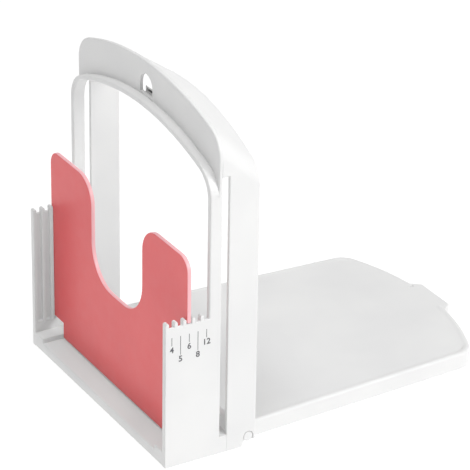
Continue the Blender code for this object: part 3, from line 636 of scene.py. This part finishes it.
def build_front_frame(material):
    """Tray, notched walls, front half of the sill, front hoop, web and catch box."""
    reach = INNER_HALF + OVERLAP
    riser = LEDGE_HALF + SKIN
    frame = prism("X", [
        (-reach, LEDGE_TOP), (-reach, LEDGE_TOP - SKIN), (-riser, LEDGE_TOP - SKIN),
        (-riser, FLOOR_TOP - SKIN), (riser, FLOOR_TOP - SKIN), (riser, LEDGE_TOP - SKIN),
        (reach, LEDGE_TOP - SKIN), (reach, LEDGE_TOP), (LEDGE_HALF, LEDGE_TOP),
        (LEDGE_HALF, FLOOR_TOP), (-LEDGE_HALF, FLOOR_TOP), (-LEDGE_HALF, LEDGE_TOP),
    ], TRAY_FRONT + SKIN / 2, HOOP_FRONT + SKIN / 2)
    rail_corners = [
        (-reach, 0.0, 0), (reach, 0.0, 0), (reach, LEDGE_TOP, 0), (LEDGE_HALF, LEDGE_TOP, 0),
        (LEDGE_HALF, FLOOR_TOP, 0), (-LEDGE_HALF, FLOOR_TOP, 0), (-LEDGE_HALF, LEDGE_TOP, 0),
        (-reach, LEDGE_TOP, 0),
    ]
    rail = soft_prism("X", rail_corners, TRAY_FRONT, TRAY_FRONT + SKIN, RAIL_EDGE, 0)
    sill = prism("Y", [
        (HOOP_FRONT, FLOOR_TOP - SKIN), (HOOP_FRONT + SKIN, FLOOR_TOP - SKIN),
        (HOOP_FRONT + SKIN, KNIFE_SLOT_BOTTOM - SKIN),
        (FRONT_SILL_END - WALL, KNIFE_SLOT_BOTTOM - SKIN), (FRONT_SILL_END - WALL, 0.0),
        (FRONT_SILL_END, 0.0), (FRONT_SILL_END, KNIFE_SLOT_BOTTOM),
        (-SLOT_HALF, KNIFE_SLOT_BOTTOM), (-SLOT_HALF, SILL_TOP), (HOOP_FRONT, SILL_TOP),
    ], -reach, reach)
    ribs = []
    for index in range(TRAY_RIBS):
        share = (index + 1) / (TRAY_RIBS + 1)
        ribs.append(tray_rib(LEDGE_HALF * (2 * share - 1)))
    walls = []
    for side in (-1, 1):
        wall = prism("Y", notched_wall_outline(), side * INNER_HALF, side * HALF_WIDTH)
        end = prism("Y", [
            (-SLOT_HALF - OVERLAP, 0.0), (FRONT_SILL_END, 0.0),
            (FRONT_SILL_END, KNIFE_SLOT_BOTTOM), (-SLOT_HALF - OVERLAP, KNIFE_SLOT_BOTTOM),
        ], side * INNER_HALF, side * HALF_WIDTH)
        walls += [wall, end]
    join(frame, rail, sill, *ribs, *walls)

    band = [(-SLOT_HALF, opening_arch()), (HOOP_FRONT + HOOP_EDGE, opening_arch())]
    band += [(HOOP_FRONT + HOOP_EDGE * back, opening_arch(HOOP_EDGE * out))
             for out, back in edge_turns()[1:]]
    band += [(HOOP_FRONT + HOOP_EDGE * back, hoop_arch(0.0, -HOOP_EDGE * inset))
             for back, inset in edge_turns()]
    band.append((-SLOT_HALF, hoop_arch(0.0)))
    hoop = arch_loft(band)

    web_front = -SLOT_HALF - WEB
    web_lines = [(-SLOT_HALF, hoop_arch(arch_foot(), -WALL / 2)),
                 (web_front, hoop_arch(arch_foot(), -WALL / 2))]
    web_lines += [(web_front + WEB_EDGE * back, web_arch(arch_foot(), -WEB_EDGE * inset))
                  for back, inset in edge_turns()]
    web_lines.append((-SLOT_HALF, web_arch(arch_foot())))
    web = arch_loft(web_lines)
    window_half = WINDOW_WIDTH / 2
    window = [(-window_half, WINDOW_SILL), (window_half, WINDOW_SILL)]
    window += arc((0.0, WINDOW_SPRING), window_half, 0, 180, 2 * CORNER_STEPS)
    cut(web, prism("X", window, web_front - OVERRUN, -SLOT_HALF + OVERRUN))
    join(web, catch_box())
    join(frame, hoop, web)

    cuts = []
    for side in (-1, 1):
        cuts += [plate_groove(stop, side) for stop in SLICE_STOPS]
    for y in peg_places():
        hole = disc((y, PEG_HEIGHT), PEG_RADIUS + SEAT_GAP)
        cuts.append(prism("X", hole, FRONT_SILL_END - WALL - OVERRUN, FRONT_SILL_END + OVERRUN))
    cut(frame, *cuts)
    return finish(frame, "front_frame_shell", material, (-SLOT_HALF, FRONT_SILL_END))


def bearing_outline():
    """Side view (x, z) of what is cut from the rear legs: the bearing and its open throat."""
    throat = HINGE_Z - BEARING_THROAT
    lean = math.degrees(math.asin(throat / BEARING_RADIUS))
    outline = [(LEG_FOOT_END, -OVERRUN), (LEG_FOOT_END, 0.0),
               (LEG_FOOT_END + LEG_FOOT_CHAMFER, BEARING_THROAT)]
    outline += arc((HINGE_X, HINGE_Z), BEARING_RADIUS, 180 + lean, -lean, ROUND_STEPS // 2)
    outline += [(REAR_END + OVERRUN, BEARING_THROAT), (REAR_END + OVERRUN, -OVERRUN)]
    return outline


def roof_height(x, y, depth):
    """Height of a point in the hood's roof, a depth below its outer surface."""
    front = height_at(web_arch(0.0, -depth), y)
    back = height_at(rear_arch(0.0, -depth), y)
    return front + (back - front) * (x - HOOD_FRONT) / (REAR_END - HOOD_FRONT)


def catch_tongue():
    """A tongue that hangs from the hood roof, with its toe under the catch box."""
    front = CATCH_BACK + SEAT_GAP
    back = front + TONGUE
    top = (roof_height(back, TONGUE_HALF, 0.0) + roof_height(front, 0.0, SKIN)) / 2
    toe = WINDOW_SILL - CATCH_FLOOR - SEAT_GAP
    outline = [(CATCH_BACK - TONGUE_TOE, toe - TONGUE), (back, toe - TONGUE), (back, top),
               (front, top), (front, toe), (CATCH_BACK - TONGUE_TOE, toe)]
    return prism("Y", outline, -TONGUE_HALF, TONGUE_HALF)


def hood_rib(y):
    """A gusset under the hood roof, in the XZ plane."""
    front = HOOD_FRONT + HOOD_RIB_STANDOFF
    back = REAR_END - REAR_LIP / 2
    front_top = roof_height(front, y, SKIN / 2)
    back_top = roof_height(back, y, REAR_BAND / 2)
    outline = [(front, front_top - HOOD_RIB_DEPTH), (back, back_top - REAR_BAND / 4),
               (back, back_top), (front, front_top)]
    return prism("Y", outline, y - RIB / 2, y + RIB / 2)


def build_rear_frame(material):
    """Rear legs with the hinge bearings, rear half of the sill, hood and its tongue."""
    lines = [(HOOD_RIM, web_arch(-OVERLAP))]
    lines += [(REAR_END - REAR_EDGE * short, rear_arch(-OVERLAP, -REAR_EDGE * inset))
              for inset, short in edge_turns()]
    lines += [
        (REAR_END, rear_arch(-OVERLAP, -REAR_BAND)),
        (REAR_END - REAR_LIP, rear_arch(-OVERLAP, -REAR_BAND)),
        (HOOD_RIM, web_arch(-OVERLAP, -SKIN)),
    ]
    frame = arch_loft(lines)
    ribs = []
    for index in range(HOOD_RIBS_EACH_SIDE):
        y = HOOD_RIB_FIRST + HOOD_RIB_SPACING * index
        ribs += [hood_rib(-y), hood_rib(y)]
    sill_end = HINGE_X - (BOARD_TOP - HINGE_Z) - HINGE_END_CLEARANCE
    reach = REAR_INNER_HALF + OVERLAP
    sill = prism("Y", [
        (SLOT_HALF - OVERLAP, -OVERLAP), (SLOT_HALF + SILL_SKIN, -OVERLAP),
        (SLOT_HALF + SILL_SKIN, SILL_TOP - SILL_SKIN), (sill_end - SILL_SKIN, SILL_TOP - SILL_SKIN),
        (sill_end - SILL_SKIN, -OVERLAP), (sill_end, -OVERLAP), (sill_end, SILL_TOP),
        (SLOT_HALF - OVERLAP, SILL_TOP),
    ], -reach, reach)
    join(frame, *ribs, catch_tongue(), sill)

    side = HALF_WIDTH + OVERRUN
    slot = box((HOOD_FRONT - OVERRUN, -side, -OVERRUN), (SLOT_HALF, side, KNIFE_SLOT_TOP))
    below = box((HOOD_FRONT - OVERRUN, -side, -OVERRUN), (REAR_END + OVERRUN, side, 0.0))
    bearings = prism("Y", bearing_outline(), -side, side)
    cut(frame, slot, below, bearings)
    pegs = []
    for y in peg_places():
        peg = disc((y, PEG_HEIGHT), PEG_RADIUS)
        pegs.append(prism("X", peg, FRONT_SILL_END - WALL, SLOT_HALF + SILL_SKIN / 2))
    join(frame, *pegs)
    return finish(frame, "rear_frame_shell", material, (HOOD_RIM, SLOT_HALF))


def board_half_width(x):
    wide = REAR_INNER_HALF - BOARD_SIDE_CLEARANCE
    if x <= BOARD_TAPER_START:
        return wide
    share = (x - BOARD_TAPER_START) / (BOARD_CORNER_X - BOARD_TAPER_START)
    return wide + (BOARD_END_HALF_WIDTH - wide) * share


def board_corners(start):
    """Plan outline (x, y) of the board, from its hinge end, with a low arc at its free end."""
    wide = board_half_width(start)
    return [
        (start, -wide, 0), (BOARD_TAPER_START, -wide, 0),
        (BOARD_CORNER_X, -BOARD_END_HALF_WIDTH, BOARD_CORNER_RADIUS),
        (BOARD_PEAK, 0.0, BOARD_END_RADIUS),
        (BOARD_CORNER_X, BOARD_END_HALF_WIDTH, BOARD_CORNER_RADIUS),
        (BOARD_TAPER_START, wide, 0), (start, wide, 0),
    ]


def foot_places():
    return ((FOOT_X, -FOOT_SPACING / 2), (FOOT_X, FOOT_SPACING / 2))


def curl_arc(radius):
    """Side view (x, z) of the board's curl round the hinge, from the top down to its foot."""
    lean = math.degrees(math.asin((HINGE_Z - HINGE_CURL_FOOT) / (BOARD_TOP - HINGE_Z)))
    return arc((HINGE_X, HINGE_Z), radius, 90, 180 + lean, CORNER_STEPS * 2)


def build_loaf_board(material):
    """The folding board: a ribbed tray-like shell with a curled hinge end and trunnions."""
    curl = BOARD_TOP - HINGE_Z
    start = HINGE_X - curl - BOARD_RIM_WIDTH - OVERRUN
    outside = [(TAB_TIP, BOARD_TOP + OVERRUN), (HINGE_X, BOARD_TOP + OVERRUN), *curl_arc(curl),
               (HINGE_X, HINGE_CURL_FOOT), (BOARD_TAPER_START, BOARD_SKIRT_FOOT),
               (TAB_TIP, BOARD_SKIRT_FOOT)]
    board = soft_prism("Z", board_corners(start), 0.0, BOARD_TOP, 0, BOARD_EDGE)
    intersect(board, prism("Y", outside, -HALF_WIDTH, HALF_WIDTH))
    inside = [(TAB_TIP, BOARD_TOP - BOARD_SKIN), *curl_arc(curl - BOARD_SKIN)]
    inside += [(inside[-1][0], -OVERLAP), (TAB_TIP, -OVERLAP)]
    hollow = prism("Z", rounded_outline(board_corners(start), BOARD_SKIN), -OVERRUN, BOARD_TOP)
    intersect(hollow, prism("Y", inside, -HALF_WIDTH, HALF_WIDTH))
    well_floor = BOARD_TOP - BOARD_RIM_STEP
    well = []
    for inset, z in ((BOARD_RIM_WIDTH + BOARD_RIM_SLOPE / 2, well_floor),
                     (BOARD_RIM_WIDTH - BOARD_RIM_SLOPE / 2, BOARD_TOP),
                     (BOARD_RIM_WIDTH - BOARD_RIM_SLOPE / 2, BOARD_TOP + OVERRUN)):
        well.append(ring_at("Z", rounded_outline(board_corners(start), inset), z))
    mouth_half = TAB_TIP_WIDTH / 2
    mouth = box((BOARD_APEX - BOARD_RIM_WIDTH - OVERRUN, -mouth_half, well_floor),
                (TAB_TIP, mouth_half, BOARD_TOP + OVERRUN))
    cut(board, hollow, loft(well), mouth)

    wide = board_half_width(HINGE_X)
    trunnions = []
    for side in (-1, 1):
        trunnion = disc((HINGE_X, HINGE_Z), BEARING_RADIUS - TRUNNION_CLEARANCE)
        trunnions.append(prism("Y", trunnion, side * (wide - BOARD_SKIN / 2),
                               side * (HALF_WIDTH - TRUNNION_INSET)))
    join(board, *trunnions)

    under = BOARD_TOP - BOARD_SKIN / 2 - BOARD_RIM_STEP
    rib_foot = BOARD_TOP - BOARD_SKIN - BOARD_RIB_DEPTH
    rib_end = BOARD_CORNER_X + BOARD_SKIN
    ribs = []
    for index in range(BOARD_LONG_RIBS):
        share = (index + 1) / (BOARD_LONG_RIBS + 1)
        y = BOARD_END_HALF_WIDTH * (2 * share - 1)
        ribs.append(box((HINGE_X, y - RIB / 2, rib_foot), (rib_end, y + RIB / 2, under)))
    for index in range(BOARD_CROSS_RIBS):
        share = (index + 1) / (BOARD_CROSS_RIBS + 1)
        x = BOARD_TAPER_START + (BOARD_CORNER_X - BOARD_TAPER_START) * share
        half = board_half_width(x) - BOARD_SKIN / 2
        ribs.append(box((x - RIB / 2, -half, rib_foot), (x + RIB / 2, half, under)))
    for x, y in foot_places():
        boss = disc((x, y), FOOT_RADIUS + FOOT_CLEARANCE + FOOT_BOSS_WALL)
        ribs.append(prism("Z", boss, FOOT_BOSS_FOOT, under))
    join(board, *ribs)

    tab_corners = [
        (BOARD_APEX - TAB_ROOT_DEPTH, -TAB_ROOT_WIDTH / 2, 0),
        (TAB_TIP, -TAB_TIP_WIDTH / 2, TAB_CORNER), (TAB_TIP, TAB_TIP_WIDTH / 2, TAB_CORNER),
        (BOARD_APEX - TAB_ROOT_DEPTH, TAB_ROOT_WIDTH / 2, 0),
    ]
    tab = soft_prism("Z", tab_corners, BOARD_TOP - TAB_THICKNESS, BOARD_TOP - BOARD_RIM_STEP,
                     0, TAB_EDGE)
    join(board, tab)
    sockets = []
    for x, y in foot_places():
        socket = disc((x, y), FOOT_RADIUS + FOOT_CLEARANCE)
        sockets.append(prism("Z", socket, -OVERRUN, FOOT_HEIGHT + SEAT_GAP))
    cut(board, *sockets)
    return finish(board, "loaf_board_shell", material)


def build_foot(name, place, material):
    profile = [(FOOT_RADIUS - FOOT_EDGE, 0.0), (FOOT_RADIUS, FOOT_EDGE), (FOOT_RADIUS, FOOT_HEIGHT)]
    foot = loft([ring_at("Z", disc(place, radius), z) for radius, z in profile])
    return finish(foot, name, material)


def build_thickness_plate(material):
    """The plate that the cut face of the loaf is pushed against, with a deep U cut-out."""
    stop = SLICE_STOPS[PLATE_SETTING]
    heel_half = LEDGE_HALF - PLATE_STEP_CLEARANCE
    body_half = INNER_HALF + GROOVE_DEPTH - PLATE_GROOVE_CLEARANCE
    wing_half = HALF_WIDTH - PLATE_SHOULDER_INSET
    heel = GROOVE_BOTTOM + GROOVE_END_RISE + PLATE_HEEL_CLEARANCE
    shoulder = NOTCH_BOTTOM + SEAT_GAP
    foot = FLOOR_TOP + PLATE_FOOT_CLEARANCE
    cut_half = CUTOUT_WIDTH / 2
    right = [
        (heel_half, foot, 0), (heel_half, heel, 0), (body_half, heel, 0),
        (body_half, shoulder, 0), (wing_half, shoulder, 0),
        (wing_half, PLATE_TOP, PLATE_CORNER_RADIUS), (cut_half, PLATE_TOP, CUTOUT_LIP_RADIUS),
        (cut_half, CUTOUT_BOTTOM, CUTOUT_CORNER_RADIUS),
    ]
    left = [(-y, z, radius) for y, z, radius in reversed(right)]
    plate = soft_prism("X", right + left, stop - PLATE / 2, stop + PLATE / 2,
                       PLATE_EDGE, PLATE_EDGE)
    # The photo shows no pink light on the white pieces beside the plate
    plate.visible_diffuse = False
    return finish(plate, "thickness_plate_shell", material)


def add_node(tree, kind, **values):
    """A shader node whose properties and unlinked inputs take the given values."""
    node = tree.nodes.new(kind)
    for key, value in values.items():
        if key in node.inputs:
            node.inputs[key].default_value = value
        else:
            setattr(node, key, value)
    return node


def noise(tree, place, scale, detail):
    node = add_node(tree, "ShaderNodeTexNoise", Scale=scale, Detail=detail)
    tree.links.new(place, node.inputs["Vector"])
    return node.outputs["Fac"]


def remap(tree, value, span, result=(0.0, 1.0)):
    """The value, with the span from its low to its high end stretched over the result's."""
    node = add_node(tree, "ShaderNodeMapRange", **{
        "From Min": span[0], "From Max": span[1], "To Min": result[0], "To Max": result[1]})
    tree.links.new(value, node.inputs["Value"])
    return node.outputs["Result"]


def blend(tree, factor, first, second):
    node = tree.nodes.new("ShaderNodeMix")
    node.data_type = "RGBA"
    tree.links.new(factor, node.inputs["Factor"])
    for socket, colour in ((node.inputs["A"], first), (node.inputs["B"], second)):
        if isinstance(colour, tuple):
            socket.default_value = colour
        else:
            tree.links.new(colour, socket)
    return node.outputs["Result"]


def moulded(name, colour, shade, surface, edge_highlight_colour=None):
    """Moulded plastic: a faint cloudy tint, an uneven gloss, a fine grain and, if given, a painted
    highlight on the faces that do not face along X.
    """
    roughness, grain = surface
    material = bpy.data.materials.new(name)
    material.use_nodes = True
    material.diffuse_color = colour
    tree = material.node_tree
    shader = tree.nodes["Principled BSDF"]
    coordinates = tree.nodes.new("ShaderNodeTexCoord")
    place = coordinates.outputs["Object"]
    clouds = noise(tree, place, CLOUD_SCALE, CLOUD_DETAIL)
    tint = blend(tree, remap(tree, clouds, CLOUD_SPAN), colour, shade)
    # Painted highlight: faces turned away from X are blended towards a pale colour
    if edge_highlight_colour:
        split = tree.nodes.new("ShaderNodeSeparateXYZ")
        tree.links.new(coordinates.outputs["Normal"], split.inputs[0])
        facing = add_node(tree, "ShaderNodeMath", operation="ABSOLUTE")
        tree.links.new(split.outputs["X"], facing.inputs[0])
        tint = blend(tree, remap(tree, facing.outputs[0], EDGE_HIGHLIGHT_SPAN), tint, edge_highlight_colour)
    tree.links.new(tint, shader.inputs["Base Color"])
    gloss = remap(tree, noise(tree, place, GLOSS_SCALE, GLOSS_DETAIL), GLOSS_SPAN, roughness)
    tree.links.new(gloss, shader.inputs["Roughness"])
    bump = add_node(tree, "ShaderNodeBump", Strength=grain, Distance=GRAIN_HEIGHT)
    tree.links.new(noise(tree, place, GRAIN_SCALE, GRAIN_DETAIL), bump.inputs["Height"])
    tree.links.new(bump.outputs["Normal"], shader.inputs["Normal"])
    return material


def dress(piece, node, body):
    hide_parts(node)
    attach(piece, body)


def weld(mesh):
    """Join the faces, sides and backs of letters made from a font into closed bodies."""
    work = bmesh.new()
    work.from_mesh(mesh)
    bmesh.ops.remove_doubles(work, verts=work.verts, dist=WELD_DISTANCE)
    work.to_mesh(mesh)
    work.free()


def scale_print(material):
    """The marks of the slice scale and their numbers, printed on the near wall."""
    face = -HALF_WIDTH - PRINT_THICKNESS / 2
    pieces = []
    for index, (stop, foot) in enumerate(zip(SLICE_STOPS, MARK_FEET)):
        bar = box((stop - MARK_WIDTH / 2, face - PRINT_THICKNESS / 2, foot),
                  (stop + MARK_WIDTH / 2, -HALF_WIDTH + PRINT_SINK, MARK_TOP))
        bar.name = "scale_mark_%d" % (index + 1)
        pieces.append(bar)
    for stop, text, middle in zip(SLICE_STOPS, SLICE_COUNTS, NUMBER_MIDDLES):
        curve = bpy.data.curves.new("number", "FONT")
        curve.body = text
        curve.size = NUMBER_SIZE
        curve.align_x = "CENTER"
        curve.align_y = "CENTER"
        curve.extrude = PRINT_THICKNESS / 2
        curve.offset = NUMBER_SPREAD
        source = bpy.data.objects.new("number", curve)
        bpy.context.collection.objects.link(source)
        graph = bpy.context.evaluated_depsgraph_get()
        mesh = bpy.data.meshes.new_from_object(source.evaluated_get(graph))
        bpy.data.objects.remove(source, do_unlink=True)
        weld(mesh)
        mesh.transform(Matrix.Translation((stop, face, middle))
                       @ Matrix.Rotation(math.pi / 2, 4, "X"))
        number = bpy.data.objects.new("scale_number_" + text, mesh)
        bpy.context.collection.objects.link(number)
        pieces.append(number)
    for piece in pieces:
        piece.data.materials.clear()
        piece.data.materials.append(material)
        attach(piece, "frame")


def aim_light(name, place, target, size, energy):
    """A round white light at a place, turned towards its target."""
    data = bpy.data.lights.new(name, "AREA")
    data.shape = "DISK"
    data.size = size
    data.energy = energy
    light = bpy.data.objects.new(name, data)
    bpy.context.scene.collection.objects.link(light)
    light.location = place
    light.rotation_euler = (Vector(target) - Vector(place)).to_track_quat("-Z", "Y").to_euler()


def studio():
    """A white floor that glows, a dome that is brighter on the far side, and two soft lights."""
    mesh = bpy.data.meshes.new("floor")
    reach = FLOOR_REACH
    mesh.from_pydata([(-reach, -reach, 0), (reach, -reach, 0), (reach, reach, 0),
                      (-reach, reach, 0)], [], [(0, 1, 2, 3)])
    floor = bpy.data.objects.new("floor", mesh)
    bpy.context.scene.collection.objects.link(floor)
    paper = moulded("white_floor", FLOOR_WHITE, FLOOR_WHITE, FLOOR_SURFACE)
    shader = paper.node_tree.nodes["Principled BSDF"]
    shader.inputs["Emission Color"].default_value = LIGHT_WHITE
    shader.inputs["Emission Strength"].default_value = FLOOR_GLOW
    mesh.materials.append(paper)

    world = bpy.data.worlds.new("world")
    bpy.context.scene.world = world
    world.use_nodes = True
    tree = world.node_tree
    place = tree.nodes.new("ShaderNodeTexCoord")
    across = add_node(tree, "ShaderNodeVectorMath", operation="DOT_PRODUCT")
    across.inputs[1].default_value = Vector(DOME_BRIGHT_SIDE).normalized()
    tree.links.new(place.outputs["Generated"], across.inputs[0])
    strength = remap(tree, across.outputs["Value"], (-1.0, 1.0), (DOME_LOW, DOME_HIGH))
    sky = tree.nodes["Background"]
    tree.links.new(strength, sky.inputs["Strength"])
    sky.inputs["Color"].default_value = LIGHT_WHITE
    aim_light("key", KEY_PLACE, KEY_TARGET, KEY_SIZE, KEY_ENERGY)
    aim_light("top", TOP_PLACE, KEY_TARGET, TOP_SIZE, TOP_ENERGY)
    bpy.context.scene.view_settings.view_transform = "Standard"
    bpy.context.scene.view_settings.look = "None"


def photo_camera():
    """The photo's viewpoint, from its yaw, pitch, roll, distance and focal length in pixels."""
    ahead = Vector((math.cos(PITCH) * math.cos(YAW), math.cos(PITCH) * math.sin(YAW),
                    -math.sin(PITCH)))
    level = ahead.cross(Vector((0, 0, 1))).normalized()
    upright = level.cross(ahead)
    right = math.cos(ROLL) * level + math.sin(ROLL) * upright
    up = math.cos(ROLL) * upright - math.sin(ROLL) * level
    place = SHIFT_X * right + SHIFT_Y * up - DISTANCE * ahead
    data = bpy.data.cameras.new("camera")
    camera = bpy.data.objects.new("camera", data)
    bpy.context.scene.collection.objects.link(camera)
    camera.matrix_world = Matrix((
        (right.x, up.x, -ahead.x, place.x), (right.y, up.y, -ahead.y, place.y),
        (right.z, up.z, -ahead.z, place.z), (0, 0, 0, 1)))
    data.sensor_width = SENSOR
    data.lens = SENSOR * FOCAL_PX / WIDTH_PX
    data.shift_x = (WIDTH_PX / 2 - CENTRE_X_PX) / WIDTH_PX
    data.shift_y = (CENTRE_Y_PX - WIDTH_PX / 2) / WIDTH_PX
    data.clip_start = CLIP_START
    data.clip_end = CLIP_END
    bpy.context.scene.camera = camera


photo_camera()
studio()
white = moulded("white_plastic_look", WHITE, WHITE_SHADE, WHITE_SURFACE)
pink = moulded("pink_plastic_look", PINK, PINK_SHADE, PINK_SURFACE, PINK_EDGE_HIGHLIGHT)
rubber = moulded("grey_rubber_look", RUBBER, RUBBER_SHADE, RUBBER_SURFACE)
ink = moulded("grey_ink", INK, INK_SHADE, INK_SURFACE)
dress(build_front_frame(white), "front_frame", "frame")
dress(build_rear_frame(white), "rear_frame", "frame")
dress(build_loaf_board(white), "loaf_board", "board")
for name, place in zip(("board_foot_near", "board_foot_far"), foot_places()):
    dress(build_foot(name + "_pad", place, rubber), name, "board")
dress(build_thickness_plate(pink), "thickness_plate", "plate")
scale_print(ink)
